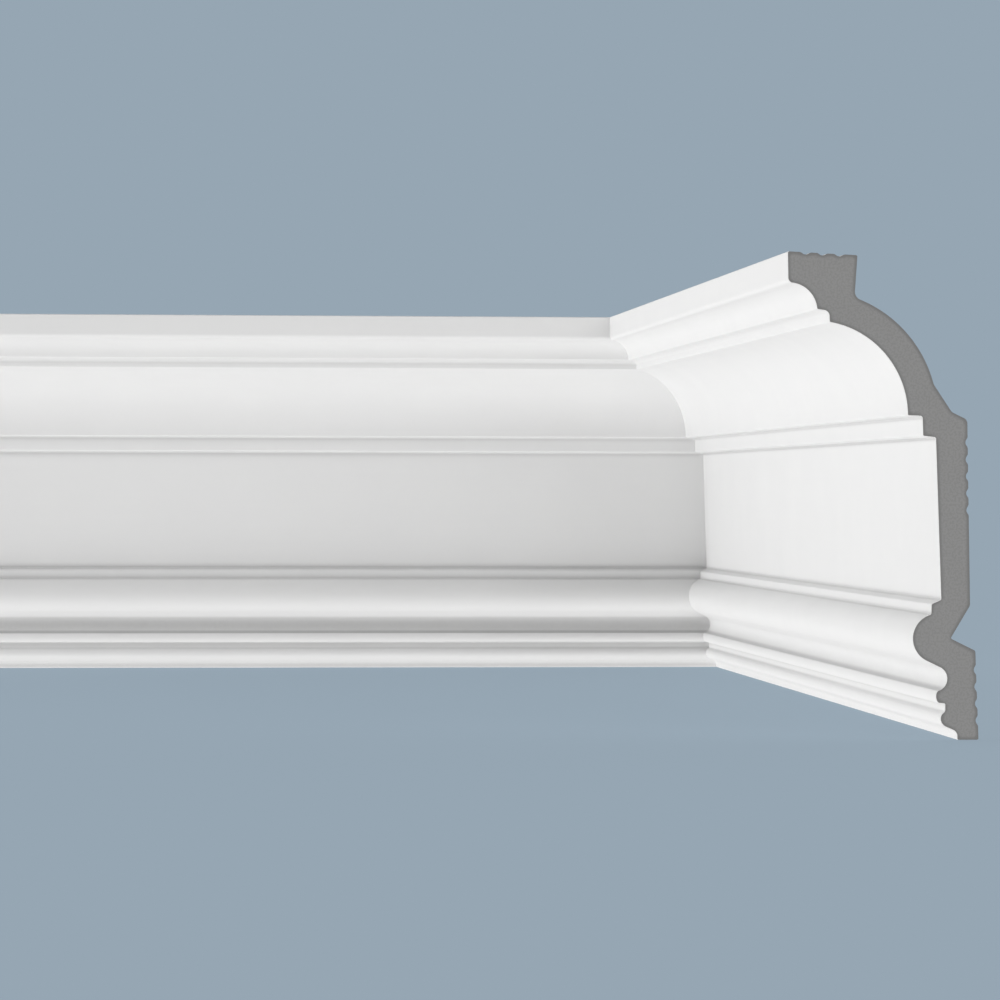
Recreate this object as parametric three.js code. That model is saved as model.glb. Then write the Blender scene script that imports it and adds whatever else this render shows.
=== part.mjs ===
// Cornice moulding, two mitred lengths that meet in an inside corner of a room.
//
// Millimetres, +Z up. The walls' corner is at +X +Y: the back run lies along the wall at +Y and the
// side return along the wall at +X, so the moulded faces look towards -Y and -X. Each length is one
// casting of rigid foam, mitred at 45 degrees at the corner and cut square at its other end. The
// origin is under the middle of the outer box, on the surface that the bottom edge stands on.

import * as THREE from 'three';

// Overall sizes
const CORNICE_HEIGHT = 170; // down the wall
const CORNICE_PROJECTION = 67.7; // out along the ceiling
const RUN_LENGTH = 370; // back run, along its wall from the corner
const RETURN_LENGTH = 620; // side return, along its wall from the corner
const MITRE_GAP = 0.3; // between the two sawn faces of the mitre

// Members of the face, each drawn upwards. out is a step into the room, rise a step up, and sweep
// the angle in degrees that a curved member turns through: round where it is over zero, hollow
// where it is under.

// Members that stand on the bottom edge
const FOOT_THICKNESS = 7.6;
const FOOT_ARRIS = { out: 0, rise: 1.2 };
const FOOT_HOLLOW = { out: 1.5, rise: 2.2, sweep: -66 };
const FOOT_SLOPE = { out: 2.5, rise: 1.1 };
const NOSE = { out: 1.4, rise: 4.5, sweep: 101 };
const NOSE_WEATHERING = { out: -1.1, rise: 1 };
const NOSE_FILLET = { out: 0, rise: 2.1 };
const BEAD_QUIRK = { out: 0.3, rise: 0.5, sweep: -60 };
const BEAD_SOFFIT = { out: 2.1, rise: 0.2 };
const BEAD = { out: 0.3, rise: 4.3, sweep: 72 };
const SCOTIA = { out: -0.9, rise: 8.1, sweep: -142 };
const OGEE_SLOPE = { out: 4.6, rise: 2.2 };
const TORUS = { out: -1.4, rise: 16.4, sweep: 140 };
const TORUS_FILLET = { out: -0.1, rise: 3.6 };
const TORUS_WEATHERING = { out: -3.4, rise: 1.5 };

// The frieze takes up what height the other members leave, and the cove what projection they leave
const FRIEZE_LEAN = 2;
const FRIEZE_SOFFIT = { out: 4.5, rise: 0.5 };
const STEP_FILLET = { out: 0.2, rise: 6.1 };
const STEP_QUIRK = { out: 0.7, rise: 0.9, sweep: -80 };
const STEP_SOFFIT = { out: 4.5, rise: 0.1 };
const COVE_RISE = 32.4;
const COVE_SWEEP = -80.5;

// Members that hang from the ceiling
const TOP_FILLET = { out: 0.1, rise: 2.6 };
const TOP_QUIRK = { out: 2.2, rise: 1.6, sweep: -70 };
const TOP_SOFFIT = { out: 2.1, rise: 0.3 };
const TOP_HOLLOW = { out: 8.9, rise: 9.1, sweep: -81 };
const LIP_ROUND = { out: 1.3, rise: 1.8, sweep: 70 };
const CEILING_LIP = { out: 0.2, rise: 9.2 };

// Walls of the casting, from the face to its back
const COVE_WALL = 10.6;
const FRIEZE_WALL_TOP = 11.2;
const FRIEZE_WALL_FOOT = 10.3;
const TORUS_WALL = 13.4;

// Beds, the faces that are glued to the ceiling and the wall. They fall away a little from their
// front edges, so that those close against the room's surfaces first.
const CEILING_BED_WIDTH = 24.6;
const CEILING_BED_FALL = 1.2;
const CEILING_BED_UNDERCUT = 0.8; // how far the bed's back edge leans in over the hollow behind
const FOOT_BED_LEAN = 1.2;
const SADDLE_RISE = 11.5; // saddle behind the torus, from its deepest line up to the wall bed
const SADDLE_DROP = 4.3; // and down to the foot bed
const BED_TOP_UNDER_STEP = 2.1; // top of the wall bed below the step's soffit
const SHOULDER_CHAMFER = { out: 0.7, rise: 1.1 };
const SHOULDER_LEDGE = { out: 4.8, rise: 2.3 };
const COVE_BACK_TURN = 54; // degrees of arc behind the cove
const ROOT_HOLLOW = { out: 1.5, rise: 3.4, sweep: 72 }; // from that arc up to the ceiling bed

// Glue keys, shallow grooves that run the whole length of a bed
const KEY_PITCH = 5.9;
const KEY_WIDTH = 3;
const KEY_SWEEP = 110;
const KEY_MARGIN = 6; // from the end of the keyed strip to its first key, at least
const KEYED_WALL_STRIP = 38; // part of the wall bed that has keys, from its top down

const CHORD_TOLERANCE = 0.02; // how far a facet may stand off its arc

// The finish of both lengths
const PRIMER_COLOUR = 0xf1f1ef;
const PRIMER_ROUGHNESS = 0.55;

// Centre of the arc that leaves a point, ends (du, dv) away and turns by sweep radians
function arcCentre(start, du, dv, sweep) {
  const chord = Math.hypot(du, dv);
  const toCentre = chord / 2 / Math.tan(sweep / 2);
  const leftward = new THREE.Vector2(-dv, du).divideScalar(chord);
  return new THREE.Vector2(start.x + du / 2, start.y + dv / 2).addScaledVector(leftward, toCentre);
}

// Draws a section point by point. u is the distance from the wall and v the height; the solid lies
// on the left of the line, so a sweep over zero is a round and one under zero a hollow.
class SectionPen {
  constructor(u, v) {
    this.points = [new THREE.Vector2(u, v)];
  }

  get tip() {
    return this.points[this.points.length - 1];
  }

  lineTo(u, v) {
    this.points.push(new THREE.Vector2(u, v));
  }

  arcTo(u, v, sweepDegrees) {
    const start = this.tip.clone();
    const sweep = THREE.MathUtils.degToRad(sweepDegrees);
    const centre = arcCentre(start, u - start.x, v - start.y, sweep);
    const spoke = start.clone().sub(centre);
    const facetTurn = 2 * Math.acos(1 - CHORD_TOLERANCE / spoke.length());
    const facets = Math.max(2, Math.ceil(Math.abs(sweep) / facetTurn));
    for (let facet = 1; facet < facets; facet += 1) {
      const turned = spoke.clone().rotateAround(new THREE.Vector2(), (sweep * facet) / facets);
      this.points.push(turned.add(centre));
    }
    this.lineTo(u, v);
  }

  member({ out, rise, sweep }) {
    const u = this.tip.x + out;
    const v = this.tip.y + rise;
    if (sweep) {
      this.arcTo(u, v, sweep);
    } else {
      this.lineTo(u, v);
    }
  }

  // A bed from the tip to (u, v), with keys along its first stretch
  keyedBedTo(u, v, keyedStretch) {
    const start = this.tip.clone();
    const end = new THREE.Vector2(u, v);
    const along = end.clone().sub(start).normalize();
    const strip = Math.min(keyedStretch, start.distanceTo(end));
    const keys = Math.max(0, Math.floor((strip - 2 * KEY_MARGIN) / KEY_PITCH) + 1);
    const firstKey = (strip - (keys - 1) * KEY_PITCH) / 2;
    for (let key = 0; key < keys; key += 1) {
      const middle = firstKey + key * KEY_PITCH;
      const from = start.clone().addScaledVector(along, middle - KEY_WIDTH / 2);
      const to = start.clone().addScaledVector(along, middle + KEY_WIDTH / 2);
      this.lineTo(from.x, from.y);
      this.arcTo(to.x, to.y, -KEY_SWEEP);
    }
    this.lineTo(u, v);
  }
}

function total(members, step) {
  return members.reduce((sum, member) => sum + member[step], 0);
}

// The closed outline of the cornice: up the face, back over the ceiling bed, down the back
function corniceSection() {
  const stepMembers = [FRIEZE_SOFFIT, STEP_FILLET, STEP_QUIRK, STEP_SOFFIT];
  const topMembers = [TOP_FILLET, TOP_QUIRK, TOP_SOFFIT, TOP_HOLLOW, LIP_ROUND, CEILING_LIP];
  const coveTopU = CORNICE_PROJECTION - total(topMembers, 'out');
  const coveTopV = CORNICE_HEIGHT - total(topMembers, 'rise');
  const coveFootV = coveTopV - COVE_RISE;
  const friezeTopV = coveFootV - total(stepMembers, 'rise');

  const pen = new SectionPen(FOOT_THICKNESS, 0);
  for (const member of [FOOT_ARRIS, FOOT_HOLLOW, FOOT_SLOPE, NOSE, NOSE_WEATHERING, NOSE_FILLET]) {
    pen.member(member);
  }
  for (const member of [BEAD_QUIRK, BEAD_SOFFIT, BEAD, SCOTIA, OGEE_SLOPE]) {
    pen.member(member);
  }
  const torusSweep = THREE.MathUtils.degToRad(TORUS.sweep);
  const torusCentre = arcCentre(pen.tip, TORUS.out, TORUS.rise, torusSweep);
  const torusFrontU = torusCentre.x + torusCentre.distanceTo(pen.tip);
  pen.member(TORUS);
  pen.member(TORUS_FILLET);
  pen.member(TORUS_WEATHERING);
  const friezeFootU = pen.tip.x;
  const friezeTopU = friezeFootU + FRIEZE_LEAN;
  pen.lineTo(friezeTopU, friezeTopV);
  stepMembers.forEach((member) => pen.member(member));
  const coveFoot = pen.tip.clone();
  pen.arcTo(coveTopU, coveTopV, COVE_SWEEP);
  topMembers.forEach((member) => pen.member(member));

  const bedBackU = CORNICE_PROJECTION - CEILING_BED_WIDTH;
  pen.keyedBedTo(bedBackU, CORNICE_HEIGHT - CEILING_BED_FALL, CEILING_BED_WIDTH);

  // The back of the cove keeps one wall to it, so both arcs share their centre
  const coveSweep = THREE.MathUtils.degToRad(COVE_SWEEP);
  const coveOut = coveTopU - coveFoot.x;
  const coveCentre = arcCentre(coveFoot, coveOut, COVE_RISE, coveSweep);
  const backRadius = coveCentre.distanceTo(coveFoot) + COVE_WALL;
  const rootU = bedBackU + CEILING_BED_UNDERCUT;
  const backTopU = rootU - ROOT_HOLLOW.out;
  const backTopAngle = Math.acos((backTopU - coveCentre.x) / backRadius);
  const backTopV = coveCentre.y + backRadius * Math.sin(backTopAngle);
  const backFootAngle = backTopAngle + THREE.MathUtils.degToRad(COVE_BACK_TURN);
  const backFootU = coveCentre.x + backRadius * Math.cos(backFootAngle);
  const backFootV = coveCentre.y + backRadius * Math.sin(backFootAngle);
  pen.lineTo(rootU, backTopV + ROOT_HOLLOW.rise);
  pen.arcTo(backTopU, backTopV, -ROOT_HOLLOW.sweep);
  pen.arcTo(backFootU, backFootV, COVE_BACK_TURN);

  const bedTopU = friezeTopU - FRIEZE_WALL_TOP;
  const bedTopV = coveFootV - BED_TOP_UNDER_STEP;
  const saddleV = torusCentre.y;
  const ledgeU = bedTopU + SHOULDER_CHAMFER.out;
  const ledgeV = bedTopV + SHOULDER_CHAMFER.rise;
  pen.lineTo(ledgeU + SHOULDER_LEDGE.out, ledgeV + SHOULDER_LEDGE.rise);
  pen.lineTo(ledgeU, ledgeV);
  pen.lineTo(bedTopU, bedTopV);
  pen.keyedBedTo(friezeFootU - FRIEZE_WALL_FOOT, saddleV + SADDLE_RISE, KEYED_WALL_STRIP);
  pen.lineTo(torusFrontU - TORUS_WALL, saddleV);
  const footBedTop = saddleV - SADDLE_DROP;
  pen.lineTo(FOOT_BED_LEAN, footBedTop);
  pen.keyedBedTo(0, 0, footBedTop);
  return new THREE.Shape(pen.points);
}

// One length, standing on its bottom edge at the walls' corner. outward is the direction from its
// wall into the room and along the one from the corner to its square end. A mitre in an inside
// corner takes as much off the length as the face stands out from the wall.
function mitredLength(name, section, length, outward, along) {
  const geometry = new THREE.ExtrudeGeometry(section, { depth: length, bevelEnabled: false });
  const up = new THREE.Vector3(0, 0, 1);
  const extruded = new THREE.Vector3().crossVectors(outward, up);
  const startsAtCorner = extruded.dot(along) > 0;
  const sawnBack = MITRE_GAP * Math.SQRT1_2;
  const positions = geometry.getAttribute('position');
  for (let index = 0; index < positions.count; index += 1) {
    const fromCorner = startsAtCorner ? positions.getZ(index) : length - positions.getZ(index);
    const atMitre = fromCorner < length / 2;
    const distance = atMitre ? positions.getX(index) + sawnBack : length;
    positions.setZ(index, startsAtCorner ? distance : -distance);
  }
  geometry.computeVertexNormals();
  const material = new THREE.MeshStandardMaterial({
    color: PRIMER_COLOUR,
    roughness: PRIMER_ROUGHNESS,
    metalness: 0,
  });
  const mesh = new THREE.Mesh(geometry, material);
  mesh.name = name;
  mesh.setRotationFromMatrix(new THREE.Matrix4().makeBasis(outward, up, extruded));
  return mesh;
}

const TOWARDS_FRONT = new THREE.Vector3(0, -1, 0);
const TOWARDS_LEFT = new THREE.Vector3(-1, 0, 0);

const section = corniceSection();
const cornice = new THREE.Group();
cornice.add(mitredLength('back_run', section, RUN_LENGTH, TOWARDS_FRONT, TOWARDS_LEFT));
cornice.add(mitredLength('side_return', section, RETURN_LENGTH, TOWARDS_LEFT, TOWARDS_FRONT));
cornice.position.set(RUN_LENGTH / 2, RETURN_LENGTH / 2, 0);

export default cornice;
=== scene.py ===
"""Cornice moulding in an inside corner: two mitred lengths, dressed for the studio.

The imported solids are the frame. Each length is modelled again with finer arcs and eased arrises,
sawn to the same mitre and the same square end, and stands for its node. Everything is in the
frame's metres; the sizes of the profile are given in millimetres, as the trade gives them.
"""

import logging
import math
from dataclasses import dataclass, field
from enum import Enum, IntEnum
from typing import Callable

import bmesh
import bpy
from mathutils import Matrix, Vector


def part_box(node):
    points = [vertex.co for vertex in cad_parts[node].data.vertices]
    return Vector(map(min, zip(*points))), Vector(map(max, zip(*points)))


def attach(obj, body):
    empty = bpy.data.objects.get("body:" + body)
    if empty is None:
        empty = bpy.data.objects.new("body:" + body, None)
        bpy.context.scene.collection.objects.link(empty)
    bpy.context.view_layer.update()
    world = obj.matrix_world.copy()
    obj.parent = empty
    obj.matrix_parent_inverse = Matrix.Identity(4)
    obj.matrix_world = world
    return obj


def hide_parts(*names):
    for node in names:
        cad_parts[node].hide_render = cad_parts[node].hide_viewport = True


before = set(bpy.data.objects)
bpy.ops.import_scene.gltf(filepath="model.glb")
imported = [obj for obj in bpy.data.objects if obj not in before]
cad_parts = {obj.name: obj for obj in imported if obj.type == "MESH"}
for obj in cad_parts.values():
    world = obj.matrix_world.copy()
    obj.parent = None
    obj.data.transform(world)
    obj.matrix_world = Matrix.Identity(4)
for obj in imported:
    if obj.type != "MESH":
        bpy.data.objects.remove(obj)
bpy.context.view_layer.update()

LOG = logging.getLogger("cornice")

MM = 0.001
UP = Vector((0.0, 0.0, 1.0))
# Least cosine between the normals of parallel faces, and most between those of faces that meet
PARALLEL = 0.999
CROSSWISE = 0.5
# Places of the Mix node's colour sockets, which share their names with its other sockets
MIX_COLOURS = (6, 7)
MIX_COLOUR_RESULT = 2

Colour = tuple[float, float, float]
Span = tuple[float, float]


class Course(Enum):
    """The two lengths of the corner, each by the node that it stands for."""

    BACK_RUN = "back_run"
    SIDE_RETURN = "side_return"

    @property
    def outward(self) -> Vector:
        """Direction from the wall into the room."""
        return Vector((0, -1, 0)) if self is Course.BACK_RUN else Vector((-1, 0, 0))

    @property
    def along(self) -> Vector:
        """Direction from the walls' corner to the square end."""
        return Vector((-1, 0, 0)) if self is Course.BACK_RUN else Vector((0, -1, 0))

    @property
    def across(self) -> Vector:
        """Direction square to the mitre, from its sawn face into the length."""
        return (self.along - self.outward).normalized()


class Skin(IntEnum):
    """What a face of a length is finished with, which is also its material slot."""

    PRIMER = 0
    CAST_BACK = 1
    SAWN = 2


@dataclass(frozen=True)
class Member:
    """One member of the moulded face, drawn upwards: round over zero sweep, hollow under it.

    Sizes are in millimetres and the sweep is in degrees.
    """

    out: float
    rise: float
    sweep: float = 0.0


@dataclass(frozen=True)
class Stroke:
    """A straight line or an arc of the section, in millimetres from the wall and the foot.

    The sweep is in radians, and the arris is how far the corners at its ends are eased.
    """

    start: Vector
    end: Vector
    sweep: float
    arris: float

    @property
    def centre(self) -> Vector:
        """Centre of the arc."""
        chord = self.end - self.start
        leftward = Vector((-chord.y, chord.x))
        return (self.start + self.end + leftward / math.tan(self.sweep / 2)) / 2

    @property
    def radius(self) -> float:
        """Radius of the arc."""
        return (self.start - self.centre).length

    @property
    def length(self) -> float:
        """Length along the line or the arc."""
        if self.sweep:
            return self.radius * abs(self.sweep)
        return (self.end - self.start).length

    def heading(self, share: float) -> float:
        """Gives the direction of travel at a place on the stroke.

        Args:
            share: The place, from 0 at the start to 1 at the end.

        Returns:
            The direction in radians from the way into the room, upwards.
        """
        chord = self.end - self.start
        return math.atan2(chord.y, chord.x) + (share - 0.5) * self.sweep

    def point(self, share: float) -> Vector:
        """Gives a point of the stroke.

        Args:
            share: The place, from 0 at the start to 1 at the end.

        Returns:
            The point in the section's plane.
        """
        if not self.sweep:
            return self.start.lerp(self.end, share)
        spoke = self.start - self.centre
        spoke.rotate(Matrix.Rotation(self.sweep * share, 2))
        return self.centre + spoke

    def trimmed(self, first: float, last: float) -> "Stroke":
        """Cuts both ends of the stroke back.

        Args:
            first: Share of the stroke where it now starts.
            last: Share of the stroke where it now ends.

        Returns:
            The shorter stroke on the same line or arc.
        """
        sweep = self.sweep * (last - first)
        return Stroke(self.point(first), self.point(last), sweep, self.arris)


def turn_between(before: float, after: float) -> float:
    """Works out the turn from one heading to another.

    Args:
        before: First heading in radians.
        after: Second heading in radians.

    Returns:
        The turn in radians, from minus half a turn to half a turn.
    """
    return math.remainder(after - before, math.tau)


@dataclass
class Outline:
    """The closed outline of a section, put together stroke by stroke."""

    tip: Vector
    arris: float
    strokes: list[Stroke] = field(default_factory=list)

    def to(self, u: float, v: float, sweep: float = 0.0) -> None:
        """Adds a line or an arc from the tip.

        Args:
            u: Distance of its end from the wall, in millimetres.
            v: Height of its end above the foot, in millimetres.
            sweep: Degrees that an arc turns through, over zero to the left.
        """
        end = Vector((u, v))
        self.strokes.append(Stroke(self.tip, end, math.radians(sweep), self.arris))
        self.tip = end

    def member(self, member: Member) -> None:
        """Adds a member of the face."""
        self.to(self.tip.x + member.out, self.tip.y + member.rise, member.sweep)

    def eased(self, least_turn: float = math.radians(8), most_share: float = 0.3) -> list[Stroke]:
        """Rounds the corners of the outline.

        Args:
            least_turn: Corners that turn less than this, in radians, stay as they are.
            most_share: The most that a rounded corner takes of a stroke beside it.

        Returns:
            The strokes in order, with a small arc in the place of each corner.
        """
        corners = []
        for stroke, following in zip(self.strokes, self.strokes[1:] + self.strokes[:1]):
            turn = turn_between(stroke.heading(1), following.heading(0))
            room = most_share * min(stroke.length, following.length)
            ease = min(stroke.arris, following.arris, room)
            corners.append(ease if abs(turn) > least_turn else 0.0)
        shortened = [
            stroke.trimmed(before / stroke.length, 1 - after / stroke.length)
            for stroke, before, after in zip(self.strokes, corners[-1:] + corners, corners)
        ]
        chain = []
        for index, stroke in enumerate(shortened):
            chain.append(stroke)
            following = shortened[(index + 1) % len(shortened)]
            if corners[index]:
                turn = turn_between(stroke.heading(1), following.heading(0))
                chain.append(Stroke(stroke.end, following.start, turn, stroke.arris))
        return chain


@dataclass(frozen=True)
class GlueKeys:
    """Shallow grooves that run the whole length of a bed, in millimetres and degrees."""

    pitch: float = 5.9
    width: float = 3.0
    sweep: float = 110.0
    margin: float = 6.0

    def cut(self, outline: Outline, u: float, v: float, stretch: float) -> None:
        """Draws a bed from the outline's tip with keys in its first stretch.

        Args:
            outline: The outline that the bed belongs to.
            u: Distance of the bed's end from the wall.
            v: Height of the bed's end.
            stretch: Length of the keyed stretch.
        """
        start = outline.tip
        end = Vector((u, v))
        along = (end - start).normalized()
        strip = min(stretch, (end - start).length)
        keys = max(0, math.floor((strip - 2 * self.margin) / self.pitch) + 1)
        first = (strip - (keys - 1) * self.pitch) / 2
        for key in range(keys):
            middle = first + key * self.pitch
            outline.to(*(start + along * (middle - self.width / 2)))
            outline.to(*(start + along * (middle + self.width / 2)), sweep=-self.sweep)
        outline.to(u, v)


@dataclass(frozen=True)
class CorniceProfile:
    """Sizes of the cornice's section, in millimetres and degrees.

    The height and the projection come from the frame. The frieze takes up the height that the
    other members leave, and the cove the projection.
    """

    height: float
    projection: float

    foot_thickness: float = 7.6
    foot: tuple[Member, ...] = (Member(0, 1.2), Member(1.5, 2.2, -66), Member(2.5, 1.1))
    nose: tuple[Member, ...] = (Member(1.4, 4.5, 101), Member(-1.1, 1), Member(0, 2.1))
    bead: tuple[Member, ...] = (Member(0.3, 0.5, -60), Member(2.1, 0.2), Member(0.3, 4.3, 72))
    scotia: tuple[Member, ...] = (Member(-0.9, 8.1, -142), Member(4.6, 2.2))
    torus: Member = Member(-1.4, 16.4, 140)
    torus_cap: tuple[Member, ...] = (Member(-0.1, 3.6), Member(-3.4, 1.5))
    frieze_lean: float = 2.0
    step: tuple[Member, ...] = (
        Member(4.5, 0.5),
        Member(0.2, 6.1),
        Member(0.7, 0.9, -80),
        Member(4.5, 0.1),
    )
    cove_rise: float = 32.4
    cove_sweep: float = -80.5
    top: tuple[Member, ...] = (
        Member(0.1, 2.6),
        Member(2.2, 1.6, -70),
        Member(2.1, 0.3),
        Member(8.9, 9.1, -81),
        Member(1.3, 1.8, 70),
        Member(0.2, 9.2),
    )

    cove_wall: float = 10.6
    frieze_wall_top: float = 11.2
    frieze_wall_foot: float = 10.3
    torus_wall: float = 13.4

    ceiling_bed_width: float = 24.6
    ceiling_bed_fall: float = 1.2
    ceiling_bed_undercut: float = 0.8
    foot_bed_lean: float = 1.2
    saddle_rise: float = 11.5
    saddle_drop: float = 4.3
    bed_top_under_step: float = 2.1
    shoulder: tuple[Member, ...] = (Member(0.7, 1.1), Member(4.8, 2.3))
    cove_back_turn: float = 54.0
    root_hollow: Member = Member(1.5, 3.4, 72)
    keys: GlueKeys = GlueKeys()
    keyed_wall_strip: float = 38.0

    face_arris: float = 0.5
    back_arris: float = 0.6

    # Where the primer stops: this far under the top, but for the front of the lip
    bare_below_top: float = 3.0
    lip_depth: float = 1.0
    least_outward: float = 0.005

    def outline(self) -> Outline:
        """Draws the section: up the face, back over the ceiling bed and down the back.

        Returns:
            The closed outline, with the solid on the left of its line.
        """
        line = Outline(Vector((self.foot_thickness, 0)), self.face_arris)
        for member in self.foot + self.nose + self.bead + self.scotia:
            line.member(member)
        line.member(self.torus)
        torus = line.strokes[-1]
        for member in self.torus_cap:
            line.member(member)
        frieze_foot = line.tip.x
        frieze_top = frieze_foot + self.frieze_lean
        cove_top = Vector((self.projection, self.height))
        cove_top -= sum((Vector((m.out, m.rise)) for m in self.top), Vector((0, 0)))
        cove_foot = cove_top.y - self.cove_rise
        line.to(frieze_top, cove_foot - sum(member.rise for member in self.step))
        for member in self.step:
            line.member(member)
        line.to(*cove_top, sweep=self.cove_sweep)
        cove = line.strokes[-1]
        for member in self.top:
            line.member(member)

        line.arris = self.back_arris
        bed_back = self.projection - self.ceiling_bed_width
        bed_fall = self.height - self.ceiling_bed_fall
        self.keys.cut(line, bed_back, bed_fall, self.ceiling_bed_width)
        self.draw_cove_back(line, cove, bed_back + self.ceiling_bed_undercut)

        chamfer, ledge = self.shoulder
        bed_top = Vector((frieze_top - self.frieze_wall_top, cove_foot - self.bed_top_under_step))
        sill = bed_top + Vector((chamfer.out, chamfer.rise))
        line.to(sill.x + ledge.out, sill.y + ledge.rise)
        line.to(*sill)
        line.to(*bed_top)
        saddle = torus.centre.y
        bed_foot = frieze_foot - self.frieze_wall_foot
        self.keys.cut(line, bed_foot, saddle + self.saddle_rise, self.keyed_wall_strip)
        line.to(torus.centre.x + torus.radius - self.torus_wall, saddle)
        foot_bed_top = saddle - self.saddle_drop
        line.to(self.foot_bed_lean, foot_bed_top)
        self.keys.cut(line, 0, 0, foot_bed_top)
        line.to(self.foot_thickness, 0)
        return line

    def draw_cove_back(self, line: Outline, cove: Stroke, root: float) -> None:
        """Draws the hollow under the ceiling bed and the round back of the cove.

        Args:
            line: The outline, with its tip on the ceiling bed's back edge.
            cove: The cove's arc, which shares its centre with its back.
            root: Distance of the hollow's top from the wall.
        """
        hollow = self.root_hollow
        radius = cove.radius + self.cove_wall
        top_angle = math.acos((root - hollow.out - cove.centre.x) / radius)
        spoke = Vector((radius, 0))
        spoke.rotate(Matrix.Rotation(top_angle, 2))
        back_top = cove.centre + spoke
        spoke.rotate(Matrix.Rotation(math.radians(self.cove_back_turn), 2))
        back_foot = cove.centre + spoke
        line.to(root, back_top.y + hollow.rise)
        line.to(*back_top, sweep=-hollow.sweep)
        line.to(*back_foot, sweep=self.cove_back_turn)

    def is_primed(self, u: float, v: float, outwardness: float) -> bool:
        """Tells the primed face from the bare back.

        Args:
            u: Distance from the wall of the middle of a face.
            v: Height of it.
            outwardness: How far the face looks into the room, from -1 to 1.

        Returns:
            True where the face is part of the moulded side.
        """
        under_bed = v < self.height - self.bare_below_top
        on_lip = u > self.projection - self.lip_depth
        return outwardness > self.least_outward and (under_bed or on_lip)


@dataclass
class Workbench:
    """The piece on the bench: one mesh in edit mode, shaped by operators."""

    piece: bpy.types.Object
    same_spot: float = 0.0005 * MM
    area_weight: int = 100

    @classmethod
    def point(cls, name: str, place: Vector) -> "Workbench":
        """Puts a new piece on the bench, a plane drawn together to one point.

        Args:
            name: Name of the piece.
            place: Where the point is, in the frame.

        Returns:
            The bench, in edit mode with the point selected.
        """
        bpy.ops.object.select_all(action="DESELECT")
        bpy.ops.mesh.primitive_plane_add(size=MM, location=place)
        piece = bpy.context.object
        piece.name = name
        piece.data.name = name
        bpy.ops.object.transform_apply(location=True, rotation=True, scale=True)
        bpy.ops.object.mode_set(mode="EDIT")
        bpy.ops.mesh.select_mode(type="VERT")
        bpy.ops.mesh.select_all(action="SELECT")
        bpy.ops.mesh.merge(type="CENTER")
        return cls(piece)

    def select_faces(self, wanted: Callable[[bmesh.types.BMFace], bool]) -> None:
        """Selects the faces that a test picks, and no others.

        Args:
            wanted: The test, called with each face.
        """
        bpy.ops.mesh.select_mode(type="FACE")
        bpy.ops.mesh.select_all(action="DESELECT")
        mesh = bmesh.from_edit_mesh(self.piece.data)
        mesh.normal_update()
        for face in mesh.faces:
            if wanted(face):
                face.select_set(True)
        bmesh.update_edit_mesh(self.piece.data)

    def skin(self, skin: Skin) -> None:
        """Gives the selected faces a skin."""
        self.piece.active_material_index = skin
        bpy.ops.object.material_slot_assign()

    def close(self) -> None:
        """Merges what lies on one spot and turns every face outwards."""
        bpy.ops.mesh.select_all(action="SELECT")
        bpy.ops.mesh.remove_doubles(threshold=self.same_spot)
        bpy.ops.mesh.normals_make_consistent(inside=False)

    def finish(self, smooth_angle: float) -> bpy.types.Object:
        """Shades the mesh and leaves edit mode.

        Args:
            smooth_angle: Edges that turn less than this, in radians, are shaded smooth.

        Returns:
            The finished piece, at the origin.
        """
        bpy.ops.object.mode_set(mode="OBJECT")
        bpy.ops.object.shade_smooth_by_angle(angle=smooth_angle)
        weigh = self.piece.modifiers.new("even shading", "WEIGHTED_NORMAL")
        weigh.mode = "FACE_AREA"
        weigh.weight = self.area_weight
        weigh.keep_sharp = True
        bpy.ops.object.modifier_apply(modifier=weigh.name)
        return self.piece


@dataclass(frozen=True)
class SectionPen:
    """Draws a section as a chain of edges, square across a length at its end."""

    corner: Vector
    outward: Vector
    chord_error: float = 0.003
    least_facets: int = 3

    def place(self, point: Vector) -> Vector:
        """Puts a point of the section, in millimetres, in the frame."""
        return self.corner + self.outward * point.x * MM + UP * point.y * MM

    def steps(self, stroke: Stroke) -> int:
        """Works out how many facets an arc needs.

        Args:
            stroke: The arc.

        Returns:
            The number of facets, so that none stands off the arc by more than the chord error.
        """
        facet = 2 * math.acos(1 - min(1.0, self.chord_error / stroke.radius))
        return max(self.least_facets, math.ceil(abs(stroke.sweep) / facet))

    def draw(self, stroke: Stroke) -> None:
        """Extrudes the selected point along a stroke.

        Args:
            stroke: The line or arc, which starts at the selected point.
        """
        if not stroke.sweep:
            run = self.place(stroke.end) - self.place(stroke.start)
            bpy.ops.mesh.extrude_region_move(TRANSFORM_OT_translate={"value": run})
            return
        # The spin operator turns clockwise round its axis.
        bpy.ops.mesh.spin(
            steps=self.steps(stroke),
            angle=-stroke.sweep,
            center=self.place(stroke.centre),
            axis=self.outward.cross(UP),
        )


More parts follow.
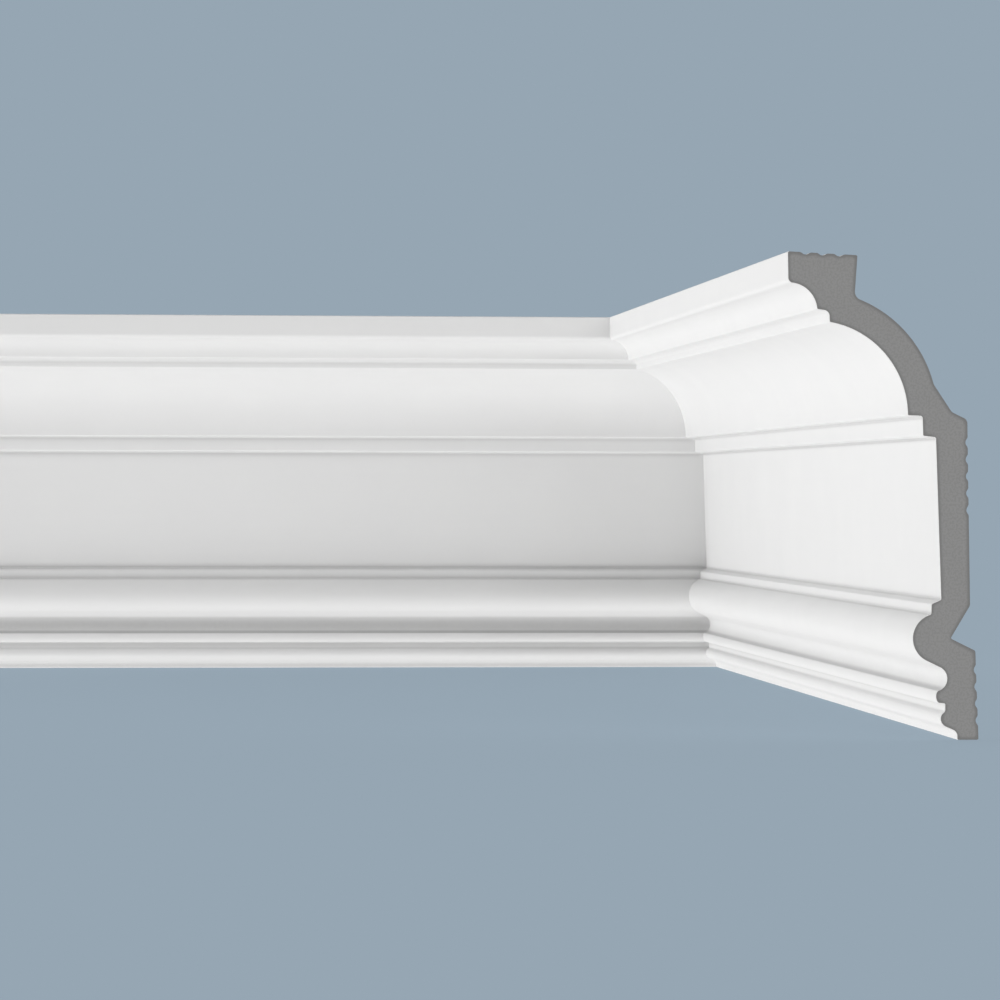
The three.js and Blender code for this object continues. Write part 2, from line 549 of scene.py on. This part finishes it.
class Signal:
    """A value on its way through the nodes, which adds its Math nodes by itself."""

    def __init__(self, board: "NodeBoard", socket: bpy.types.NodeSocket) -> None:
        """Wraps an output socket.

        Args:
            board: The board that the socket's node is on.
            socket: The output socket.
        """
        self.board = board
        self.socket = socket

    def math(self, operation: str, *values: "Signal | float") -> "Signal":
        """Adds a Math node.

        Args:
            operation: The node's operation.
            *values: Its inputs, in order.

        Returns:
            The node's result.
        """
        inputs = dict(enumerate(values))
        return self.board.add("ShaderNodeMath", {"operation": operation}, inputs)

    def __add__(self, other: "Signal | float") -> "Signal":
        """Adds."""
        return self.math("ADD", self, other)

    def __radd__(self, other: float) -> "Signal":
        """Adds to a number."""
        return self.math("ADD", other, self)

    def __sub__(self, other: "Signal | float") -> "Signal":
        """Subtracts."""
        return self.math("SUBTRACT", self, other)

    def __rsub__(self, other: float) -> "Signal":
        """Subtracts from a number."""
        return self.math("SUBTRACT", other, self)

    def __mul__(self, other: "Signal | float") -> "Signal":
        """Multiplies."""
        return self.math("MULTIPLY", self, other)

    def __rmul__(self, other: float) -> "Signal":
        """Multiplies a number."""
        return self.math("MULTIPLY", other, self)

    def between(self, low: float, high: float) -> "Signal":
        """Fades from 0 at one value to 1 at another.

        Args:
            low: Value that gives 0.
            high: Value that gives 1.

        Returns:
            The smooth fade.
        """
        settings = {"interpolation_type": "SMOOTHSTEP"}
        inputs = {"Value": self, "From Min": low, "From Max": high}
        return self.board.add("ShaderNodeMapRange", settings, inputs)


@dataclass(frozen=True)
class Pattern:
    """A noise pattern: its features to a metre, its finer layers and how strong those are.

    The stretch is how many times longer the features get in the direction that they are drawn in.
    """

    per_metre: float
    detail: float
    roughness: float
    stretch: float = 1.0


@dataclass(frozen=True)
class NodeBoard:
    """The nodes of one material, or of the world."""

    tree: bpy.types.NodeTree
    enclosure_samples: int = 8

    def add(
        self,
        kind: str,
        settings: dict[str, object] | None = None,
        inputs: dict[int | str, object] | None = None,
        output: int | str = 0,
    ) -> Signal:
        """Adds a node.

        Args:
            kind: The node's type.
            settings: Its properties, set first.
            inputs: Values or signals for its sockets, by name or place.
            output: The socket that carries on, by name or place.

        Returns:
            The signal of that output.
        """
        node = self.tree.nodes.new(kind)
        for name, value in (settings or {}).items():
            setattr(node, name, value)
        for key, value in (inputs or {}).items():
            if isinstance(value, Signal):
                self.tree.links.new(value.socket, node.inputs[key])
            else:
                node.inputs[key].default_value = value
        return Signal(self, node.outputs[output] if node.outputs else None)

    def noise(self, pattern: Pattern, along: Vector) -> Signal:
        """Adds a noise pattern.

        Args:
            pattern: The pattern.
            along: Direction that it is drawn out in.

        Returns:
            The noise, from 0 to 1.
        """
        inputs = {
            "Vector": self.coordinates(along, pattern.stretch),
            "Scale": pattern.per_metre,
            "Detail": pattern.detail,
            "Roughness": pattern.roughness,
        }
        return self.add("ShaderNodeTexNoise", {}, inputs)

    def blend(self, factor: Signal, first: Colour | Signal, second: Colour | Signal) -> Signal:
        """Mixes two colours.

        Args:
            factor: 0 for the first and 1 for the second.
            first: A colour.
            second: Another colour.

        Returns:
            The mixed colour.
        """
        inputs = {"Factor": factor}
        for key, colour in zip(MIX_COLOURS, (first, second)):
            inputs[key] = colour if isinstance(colour, Signal) else (*colour, 1.0)
        return self.add("ShaderNodeMix", {"data_type": "RGBA"}, inputs, MIX_COLOUR_RESULT)

    def coordinates(self, along: Vector, stretch: float = 1.0) -> Signal:
        """Gives the object's coordinates, drawn out in a direction.

        Args:
            along: The direction, along one of the axes.
            stretch: How many times longer a pattern gets in that direction.

        Returns:
            The coordinates in metres.
        """
        scale = [1 / stretch if axis else 1.0 for axis in along]
        place = self.add("ShaderNodeTexCoord", output="Object")
        return self.add("ShaderNodeMapping", {}, {"Vector": place, "Scale": scale})

    def enclosure(self, reach: Signal | float, inside: bool = False) -> Signal:
        """Tells how far the piece's own surface closes in on a spot.

        Args:
            reach: How far off it still counts, in millimetres.
            inside: Looks into the body instead, which finds the spots near its rim.

        Returns:
            The enclosure, 0 in the open and about 0.5 in a square corner.
        """
        settings = {"samples": self.enclosure_samples, "only_local": True, "inside": inside}
        inputs = {"Distance": reach * MM}
        return 1.0 - self.add("ShaderNodeAmbientOcclusion", settings, inputs, output="AO")

    def height(self) -> Signal:
        """Gives the height above the foot, in millimetres."""
        place = self.add("ShaderNodeTexCoord", output="Object")
        metres = self.add("ShaderNodeSeparateXYZ", {}, {"Vector": place}, output="Z")
        return metres * (1 / MM)

    def bump(self, height: Signal, depth: float) -> Signal:
        """Turns a height into a normal.

        Args:
            height: The height, from 0 to 1.
            depth: How many millimetres a height of 1 stands for.

        Returns:
            The bumped normal.
        """
        inputs = {"Height": height, "Distance": depth * MM, "Strength": 1.0}
        return self.add("ShaderNodeBump", {}, inputs)


@dataclass(frozen=True)
class Finish:
    """What the finishes share: a matt surface that a subclass varies."""

    name: str
    colour: Colour

    def material(self, along: Vector, label: str) -> bpy.types.Material:
        """Makes the material for one length.

        Args:
            along: Direction of the length, which drawn-out patterns follow.
            label: What the length is called.

        Returns:
            The material.
        """
        made = bpy.data.materials.new(f"{self.name}_{label}")
        made.use_nodes = True
        made.node_tree.nodes.clear()
        made.diffuse_color = (*self.colour, 1.0)
        board = NodeBoard(made.node_tree)
        surface = board.add("ShaderNodeBsdfPrincipled", {}, self.surface(board, along))
        board.add("ShaderNodeOutputMaterial", {}, {"Surface": surface})
        return made

    def surface(self, board: NodeBoard, along: Vector) -> dict[int | str, object]:
        """Works out the shader's inputs.

        Args:
            board: The material's nodes.
            along: Direction of the length.

        Returns:
            The values and signals for the shader's sockets.
        """
        raise NotImplementedError


@dataclass(frozen=True)
class Band:
    """A band of heights that fades in and out, in millimetres above the foot.

    A band with no fade-out goes on to the top.
    """

    fade_in: Span
    fade_out: Span | None = None

    def mask(self, board: NodeBoard) -> Signal:
        """Marks the band.

        Args:
            board: The material's nodes.

        Returns:
            1 in the band and 0 outside it.
        """
        height = board.height()
        risen = height.between(*self.fade_in)
        if self.fade_out is None:
            return risen
        return risen * (1.0 - height.between(*self.fade_out))


@dataclass(frozen=True)
class PaintedCreaseShade:
    """How much shade is painted into the coat of a length in its creases, in shares from 0 to 1.

    The reaches, round a crease and within the scotia, are in millimetres. The scotia's foot takes
    a painted shadow line.
    """

    reach: float
    scotia_reach: float
    over_frieze: float
    scotia_foot: float
    under_frieze: float = 0.66
    quirk: float = 0.25


@dataclass(frozen=True)
class Primer(Finish):
    """White primer, sprayed on the moulded face: matt, with a faint satin sheen and painted shade
    in its creases.
    """

    name: str = "white_primer"
    colour: Colour = (0.80, 0.80, 0.797)
    shade: Colour = (0.785, 0.785, 0.784)
    # Painted shade: the coat's colour is darkened towards this tone in its creases, by the shares
    # in creases and the fade
    painted_crease_shade_colour: Colour = (0.36, 0.36, 0.359)
    creases: PaintedCreaseShade = field(kw_only=True)
    crease_fade: Span = (0.03, 0.3)
    # Heights where the painted shade changes: the quirk, the scotia, the scotia's foot and the
    # members over the frieze
    quirk: Band = Band((8.0, 9.0), (12.2, 13.0))
    scotia: Band = Band((16.95, 17.15), (24.4, 25.6))
    scotia_foot: Band = Band((16.95, 17.15), (17.6, 18.9))
    upper_members: Band = Band((55.0, 100.0))
    clouds: Pattern = Pattern(28, 3, 0.55)
    lines: Pattern = Pattern(420, 2, 0.5, stretch=40)
    spray: Pattern = Pattern(900, 2, 0.6)
    cloud_cover: float = 0.65
    line_cover: float = 0.2
    spray_cover: float = 0.15
    cover_fade: Span = (0.35, 0.75)
    spray_relief: float = 0.7
    line_relief: float = 0.3
    relief_depth: float = 0.016
    roughness: float = 0.5
    cloud_sheen: float = 0.16
    spray_roughness: float = 0.1

    def surface(self, board: NodeBoard, along: Vector) -> dict[int | str, object]:
        """Works out a coat with cloudy cover, faint lines along it and a fine spray texture.

        Args:
            board: The material's nodes.
            along: Direction of the length.

        Returns:
            The values and signals for the shader's sockets.
        """
        clouds = board.noise(self.clouds, along)
        lines = board.noise(self.lines, along)
        spray = board.noise(self.spray, along)
        cover = clouds * self.cloud_cover + lines * self.line_cover + spray * self.spray_cover
        coat = board.blend(cover.between(*self.cover_fade), self.shade, self.colour)
        sheen = (0.5 - clouds) * self.cloud_sheen
        relief = spray * self.spray_relief + lines * self.line_relief
        return {
            # Painted shade: the coat's colour darkens in the creases and along the scotia's foot
            "Base Color": board.blend(self.crease(board), coat, self.painted_crease_shade_colour),
            "Roughness": self.roughness + sheen + (spray - 0.5) * self.spray_roughness,
            "Normal": board.bump(relief, self.relief_depth),
        }

    def crease(self, board: NodeBoard) -> Signal:
        """Works out the shade painted into the coat's colour down in the creases and the painted
        shadow along the scotia's foot.

        Args:
            board: The material's nodes.

        Returns:
            The share of painted shade, 0 where the coat is open.
        """
        # Painted shade: the shares and reaches of the darkening in the creases
        dull = self.creases
        share = dull.under_frieze - (dull.under_frieze - dull.quirk) * self.quirk.mask(board)
        share = share - (dull.under_frieze - dull.over_frieze) * self.upper_members.mask(board)
        reach = dull.reach + (dull.scotia_reach - dull.reach) * self.scotia.mask(board)
        # Painted shadow: a dark line along the scotia's foot
        painted_foot_shadow = dull.scotia_foot * self.scotia_foot.mask(board)
        return board.enclosure(reach).between(*self.crease_fade) * share + painted_foot_shadow


@dataclass(frozen=True)
class SawnBody(Finish):
    """The grey body where the saw went through: fine closed cells and faint saw marks."""

    name: str = "sawn_body"
    colour: Colour = (0.28, 0.28, 0.278)
    cell_shade: Colour = (0.235, 0.235, 0.233)
    rind_shade: Colour = (0.19, 0.19, 0.189)
    rind_depth: float = 1.8
    rind_fade: Span = (0.05, 0.35)
    cells: Pattern = Pattern(1300, 1, 0.5)
    patches: Pattern = Pattern(90, 2, 0.5)
    saw_marks: Pattern = Pattern(700, 1, 0.5, stretch=1 / 0.06)
    open_under: float = 0.56
    open_fade: Span = (0.0, 0.16)
    cell_share: float = 0.6
    patch_share: float = 0.25
    cell_relief: float = 0.8
    mark_relief: float = 0.2
    relief_depth: float = 0.05
    roughness: float = 0.8
    patch_roughness: float = 0.12

    def surface(self, board: NodeBoard, along: Vector) -> dict[int | str, object]:
        """Works out the cells, the denser rind along the rim and the marks of the saw's teeth.

        Args:
            board: The material's nodes.
            along: Direction of the length.

        Returns:
            The values and signals for the shader's sockets.
        """
        cells = board.noise(self.cells, along)
        patches = board.noise(self.patches, along)
        marks = board.noise(self.saw_marks, UP)
        open_cells = (self.open_under - cells).between(*self.open_fade)
        darker = open_cells * self.cell_share + patches * self.patch_share
        body = board.blend(darker, self.colour, self.cell_shade)
        rind = board.enclosure(self.rind_depth, inside=True).between(*self.rind_fade)
        relief = cells * self.cell_relief + marks * self.mark_relief
        return {
            "Base Color": board.blend(rind, body, self.rind_shade),
            "Roughness": self.roughness + (patches - 0.5) * self.patch_roughness,
            "Normal": board.bump(relief, self.relief_depth),
        }


@dataclass(frozen=True)
class CastBack(Finish):
    """The bare back as it left the mould: dull off-white with pinholes and flow lines."""

    name: str = "cast_back"
    colour: Colour = (0.77, 0.765, 0.745)
    shade: Colour = (0.70, 0.695, 0.675)
    pinhole: Colour = (0.34, 0.335, 0.32)
    pinholes_per_metre: float = 320.0
    pinhole_radius: float = 0.17
    pinhole_edge: Span = (0.0, 0.05)
    clusters: Pattern = Pattern(95, 1, 0.5)
    cluster_fade: Span = (0.5, 0.62)
    flow: Pattern = Pattern(45, 4, 0.6, stretch=2.5)
    flow_fade: Span = (0.3, 0.7)
    grain: Pattern = Pattern(700, 2, 0.6)
    grain_relief: float = 0.5
    flow_relief: float = 0.5
    relief_depth: float = 0.06
    roughness: float = 0.68
    grain_roughness: float = 0.2

    def surface(self, board: NodeBoard, along: Vector) -> dict[int | str, object]:
        """Works out the cast skin.

        Args:
            board: The material's nodes.
            along: Direction of the length.

        Returns:
            The values and signals for the shader's sockets.
        """
        flow = board.noise(self.flow, along)
        grain = board.noise(self.grain, along)
        place = board.coordinates(along)
        cells = {"Vector": place, "Scale": self.pinholes_per_metre, "Randomness": 1.0}
        spacing = board.add("ShaderNodeTexVoronoi", {}, cells, output="Distance")
        clustered = board.noise(self.clusters, along).between(*self.cluster_fade)
        holes = (self.pinhole_radius - spacing).between(*self.pinhole_edge) * clustered
        skin = board.blend(flow.between(*self.flow_fade), self.shade, self.colour)
        relief = grain * self.grain_relief + flow * self.flow_relief - holes
        return {
            "Base Color": board.blend(holes, skin, self.pinhole),
            "Roughness": self.roughness + (grain - 0.5) * self.grain_roughness,
            "Normal": board.bump(relief, self.relief_depth),
        }


@dataclass
class MouldingLength:
    """One length of the cornice: extruded, mitred at the corner and sawn square at the end."""

    course: Course
    profile: CorniceProfile
    corner: Vector
    length: float
    # Shares of the shade painted into the primer's creases
    creases: PaintedCreaseShade
    mitre_clearance: float = 0.02 * MM
    coat_edge: float = 0.16 * MM
    closing_gap: float = 0.001 * MM
    smooth_angle: float = math.radians(32)

    def build(self) -> bpy.types.Object:
        """Models the length and dresses it.

        Returns:
            The finished piece, riding on the fixed body.
        """
        label = self.course.value
        along, outward = self.course.along, self.course.outward
        square_end = self.corner + along * self.length
        pen = SectionPen(square_end, outward)
        strokes = self.profile.outline().eased()
        bench = Workbench.point(f"{label}_moulding", pen.place(strokes[0].start))
        for stroke in strokes:
            pen.draw(stroke)
        bpy.ops.mesh.select_all(action="SELECT")
        bpy.ops.mesh.remove_doubles(threshold=self.closing_gap)
        bpy.ops.mesh.edge_face_add()
        reach = {"value": -along * self.length}
        bpy.ops.mesh.extrude_region_move(TRANSFORM_OT_translate=reach)
        self.saw_mitre()
        bench.close()
        self.dress(bench)
        piece = bench.finish(self.smooth_angle)
        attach(piece, "root")
        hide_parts(label)
        return piece

    def saw_mitre(self) -> None:
        """Saws the corner end off in the plane that halves the corner."""
        across = self.course.across
        bpy.ops.mesh.select_all(action="SELECT")
        bpy.ops.mesh.bisect(
            plane_co=self.corner + across * self.mitre_clearance / 2,
            plane_no=across,
            use_fill=True,
            clear_inner=True,
        )

    def dress(self, bench: Workbench) -> None:
        """Gives the face, the back and the sawn ends their finishes.

        Args:
            bench: The bench with the sawn length.
        """
        for finish in (Primer(creases=self.creases), CastBack(), SawnBody()):
            made = finish.material(self.course.along, self.course.value)
            bench.piece.data.materials.append(made)
        bench.select_faces(lambda face: True)
        bench.skin(Skin.CAST_BACK)
        bench.select_faces(self.is_primed)
        bench.skin(Skin.PRIMER)
        into_corner = -self.course.across
        bench.select_faces(lambda face: face.normal.dot(into_corner) > PARALLEL)
        bench.skin(Skin.SAWN)
        self.show_coat_edge(bench)

    def is_primed(self, face: bmesh.types.BMFace) -> bool:
        """Tells whether a face of the mesh belongs to the moulded side.

        Args:
            face: A face that runs along the length, or an end.

        Returns:
            True for the moulded side.
        """
        middle = (face.calc_center_median() - self.corner) / MM
        u, v = middle.dot(self.course.outward), middle.dot(UP)
        outwardness = face.normal.dot(self.course.outward)
        side_on = abs(face.normal.dot(self.course.along)) < CROSSWISE
        return side_on and self.profile.is_primed(u, v, outwardness)

    def show_coat_edge(self, bench: Workbench) -> None:
        """Insets the square end, so that the coat's thin edge shows along the moulded side.

        Args:
            bench: The bench with the sawn length.
        """
        along = self.course.along
        bench.select_faces(lambda face: face.normal.dot(along) > PARALLEL)
        bpy.ops.mesh.inset(thickness=self.coat_edge, depth=0.0)
        bench.skin(Skin.SAWN)
        mesh = bmesh.from_edit_mesh(bench.piece.data)
        rim = [f for f in mesh.faces if f.normal.dot(along) > PARALLEL and not f.select]
        for face in rim:
            sides = {side for edge in face.edges for side in edge.link_faces}
            beside = [side for side in sides if side.normal.dot(along) < CROSSWISE]
            coated = any(side.material_index == Skin.PRIMER for side in beside)
            face.material_index = Skin.PRIMER if coated else Skin.SAWN
        bmesh.update_edit_mesh(bench.piece.data)


@dataclass(frozen=True)
class Glow:
    """A soft light far off, strongest where it comes from and fading round it.

    The azimuth is in degrees to the left of straight before the back run, and the elevation in
    degrees above the floor.
    """

    azimuth: float
    elevation: float
    strength: float
    focus: float

    @property
    def direction(self) -> Vector:
        """Unit direction that the light comes from."""
        aside, rise = math.radians(self.azimuth), math.radians(self.elevation)
        level = Vector((-math.sin(aside), -math.cos(aside), 0.0))
        return level * math.cos(rise) + UP * math.sin(rise)

    def from_direction(self, direction: Vector) -> float:
        """Gives the light that comes from a direction."""
        return self.strength * max(0.0, direction.dot(self.direction)) ** self.focus

    def shine(self, board: NodeBoard, direction: Signal) -> Signal:
        """Adds the nodes of the light.

        Args:
            board: The world's nodes.
            direction: The direction that is looked in.

        Returns:
            The light from that direction.
        """
        settings = {"operation": "DOT_PRODUCT"}
        inputs = {0: direction, 1: tuple(self.direction)}
        facing = board.add("ShaderNodeVectorMath", settings, inputs, output="Value")
        shining = facing.math("MAXIMUM", facing, 0.0)
        return shining.math("POWER", shining, self.focus) * self.strength


@dataclass(frozen=True)
class Surroundings:
    """The studio: a dome of soft lights, the strongest from the left and a little from below."""

    ground: Colour = (0.3050, 0.3813, 0.4508)
    glows: tuple[Glow, ...] = (
        Glow(75, -22, 6.17, focus=20.0),
        Glow(-45, 22, 2.63, focus=20.0),
        Glow(-15, 45, 2.42, focus=20.0),
        Glow(0, -75, 2.15, focus=20.0),
        Glow(135, 35, 1.20, focus=3.0),
        Glow(45, -35, 0.45, focus=3.0),
        Glow(-45, -35, 0.97, focus=3.0),
        Glow(135, -35, 0.71, focus=3.0),
        Glow(-135, 18, 1.50, focus=6.0),
    )
    floor_size: float = 30.0
    floor_cover: float = 0.3

    def build(self) -> None:
        """Sets up the dome and the floor."""
        scene = bpy.context.scene
        scene.view_settings.view_transform = "Standard"
        self.light_dome(scene)
        self.lay_floor()

    def light_dome(self, scene: bpy.types.Scene) -> None:
        """Makes the dome that lights everything, with the ground's plain colour behind it.

        Args:
            scene: The scene that it lights.
        """
        world = bpy.data.worlds.new("studio_dome")
        world.use_nodes = True
        world.node_tree.nodes.clear()
        scene.world = world
        board = NodeBoard(world.node_tree)
        direction = board.add("ShaderNodeTexCoord", output="Generated")
        strength = sum(glow.shine(board, direction) for glow in self.glows)
        dome = board.add("ShaderNodeBackground", {}, {"Color": (1, 1, 1, 1), "Strength": strength})
        seen = board.add("ShaderNodeBackground", {}, {"Color": (*self.ground, 1), "Strength": 1.0})
        to_camera = board.add("ShaderNodeLightPath", output="Is Camera Ray")
        mixed = board.add("ShaderNodeMixShader", {}, {0: to_camera, 1: dome, 2: seen})
        board.add("ShaderNodeOutputWorld", {}, {"Surface": mixed})

    def light_from_above(self, rings: int = 24, spokes: int = 48) -> float:
        """Adds up what falls on the open floor.

        Args:
            rings: Rings of directions, each of which brings the floor as much as the next.
            spokes: Directions in a ring.

        Returns:
            The light, where an even dome of strength 1 gives 1.
        """
        total = 0.0
        for ring in range(rings):
            sine = math.sqrt((ring + 0.5) / rings)
            for spoke in range(spokes):
                turn = math.tau * spoke / spokes
                flat = Vector((math.cos(turn) * sine, math.sin(turn) * sine, 0.0))
                direction = flat + UP * math.sqrt(1 - sine * sine)
                total += sum(glow.from_direction(direction) for glow in self.glows)
        return total / (rings * spokes)

    def lay_floor(self) -> None:
        """Lays the floor: it glows evenly and takes only a faint shadow."""
        bpy.ops.object.select_all(action="DESELECT")
        bpy.ops.mesh.primitive_plane_add(size=self.floor_size)
        floor = bpy.context.object
        floor.name = "studio_floor"
        made = bpy.data.materials.new("pale_floor")
        made.use_nodes = True
        made.node_tree.nodes.clear()
        board = NodeBoard(made.node_tree)
        lit = self.light_from_above()
        cover = [self.floor_cover * channel for channel in self.ground]
        glow = [channel - part * lit for channel, part in zip(self.ground, cover)]
        matt = board.add("ShaderNodeBsdfDiffuse", {}, {"Color": (*cover, 1)})
        glowing = board.add("ShaderNodeEmission", {}, {"Color": (*glow, 1), "Strength": 1.0})
        both = board.add("ShaderNodeAddShader", {}, {0: matt, 1: glowing})
        board.add("ShaderNodeOutputMaterial", {}, {"Surface": both})
        floor.data.materials.append(made)
        floor.visible_diffuse = False
        floor.visible_glossy = False
        floor.visible_shadow = False


@dataclass(frozen=True)
class Viewpoint:
    """The camera of the photograph: level, square to the back run but for a few degrees."""

    place: tuple[float, float, float] = (-0.107597, -1.755240, 0.085891)
    yaw: float = 0.086134
    pitch: float = -0.001754
    roll: float = 0.002044
    lens: float = 151.135
    sensor_width: float = 36.0
    clip: Span = (0.05, 100.0)

    def build(self) -> None:
        """Makes the camera and gives it to the scene."""
        data = bpy.data.cameras.new("viewpoint")
        data.lens = self.lens
        data.sensor_width = self.sensor_width
        data.clip_start, data.clip_end = self.clip
        camera = bpy.data.objects.new("viewpoint", data)
        bpy.context.scene.collection.objects.link(camera)
        level = Matrix.Rotation(-self.yaw, 4, "Z") @ Matrix.Rotation(math.pi / 2, 4, "X")
        tilt = Matrix.Rotation(self.pitch, 4, "X") @ Matrix.Rotation(self.roll, 4, "Z")
        camera.matrix_world = Matrix.Translation(self.place) @ level @ tilt
        bpy.context.scene.camera = camera


# Shade painted into the coat's colour reaches further round the back run's creases, but is less in
# those over its frieze
PAINTED_CREASE_SHADE = {
    Course.BACK_RUN: PaintedCreaseShade(
        reach=3.2, scotia_reach=6.5, over_frieze=0.3, scotia_foot=0.45
    ),
    Course.SIDE_RETURN: PaintedCreaseShade(
        reach=1.8, scotia_reach=1.8, over_frieze=0.66, scotia_foot=0.5
    ),
}


def corner_of_walls() -> Vector:
    """Finds the foot of the walls' corner, which both lengths are measured from.

    Returns:
        The point in the frame.
    """
    _, run_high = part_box(Course.BACK_RUN.value)
    return_low, return_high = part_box(Course.SIDE_RETURN.value)
    return Vector((return_high.x, run_high.y, return_low.z))


def main() -> None:
    """Builds the viewpoint, the studio and the two lengths."""
    logging.basicConfig(level=logging.INFO, format="%(name)s: %(message)s")
    Viewpoint().build()
    Surroundings().build()
    corner = corner_of_walls()
    for course in Course:
        low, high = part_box(course.value)
        size = high - low
        depth = abs(size.dot(course.outward)) / MM
        profile = CorniceProfile(height=size.z / MM, projection=depth)
        length = abs((low - corner).dot(course.along))
        moulding = MouldingLength(course, profile, corner, length, PAINTED_CREASE_SHADE[course])
        piece = moulding.build()
        LOG.info("%s: %d faces", piece.name, len(piece.data.polygons))


if __name__ == "__main__":
    main()
